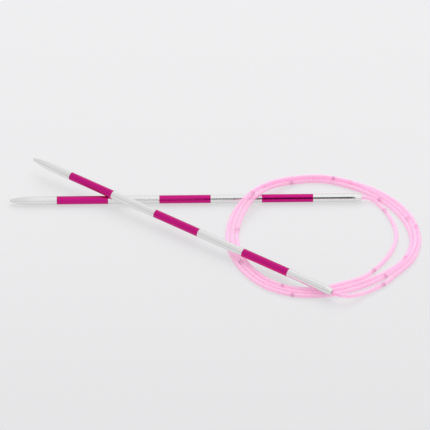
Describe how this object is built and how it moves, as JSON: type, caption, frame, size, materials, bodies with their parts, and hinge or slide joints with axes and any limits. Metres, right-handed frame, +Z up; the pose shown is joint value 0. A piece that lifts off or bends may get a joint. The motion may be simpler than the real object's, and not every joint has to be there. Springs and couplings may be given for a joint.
{
  "type": "circular knitting needle",
  "caption": "Circular knitting needle: tapered metal needles with coloured bands, joined by a long flexible cable that lies in a loose coil.",
  "frame": {"origin": "on the table, under the middle of the box round the two needles", "axes": "+X along needle a from its point to its cable end, +Z up"},
  "size_m": [0.1587, 0.0787, 0.007],
  "materials": {
    "aluminium": "smooth satin silver anodising",
    "magenta_coating": "glossy magenta coating",
    "brass": "plain turned",
    "pink_nylon": "translucent pink with dark length marks"
  },
  "bodies": {
    "needle_a_and_coil": {"needle_a_shaft": "aluminium", "needle_a_band_1": "magenta_coating", "needle_a_band_2": "magenta_coating", "needle_a_band_3": "magenta_coating", "needle_a_join": "aluminium", "needle_a_crimp": "brass", "cable": "pink_nylon"},
    "cable_bend": {"cable_bend": "pink_nylon"},
    "needle_b": {"needle_b_shaft": "aluminium", "needle_b_band_1": "magenta_coating", "needle_b_band_2": "magenta_coating", "needle_b_band_3": "magenta_coating", "needle_b_join": "aluminium", "needle_b_crimp": "brass", "cable_end": "pink_nylon"}
  },
  "joints": [
    {"name": "needle_b_swing", "type": "hinge", "parent": "needle_a_and_coil", "child": "cable_bend", "pos_m": [0.07892, -0.02758, 0.0008], "axis": [0, 0, 1], "range_deg": [0, 60]},
    {"name": "needle_b_lift", "type": "hinge", "parent": "cable_bend", "child": "needle_b", "pos_m": [0.0685, -0.0352, 0.0017], "axis": [0.5548, 0.832, 0], "range_deg": [0, 60]}
  ]
}
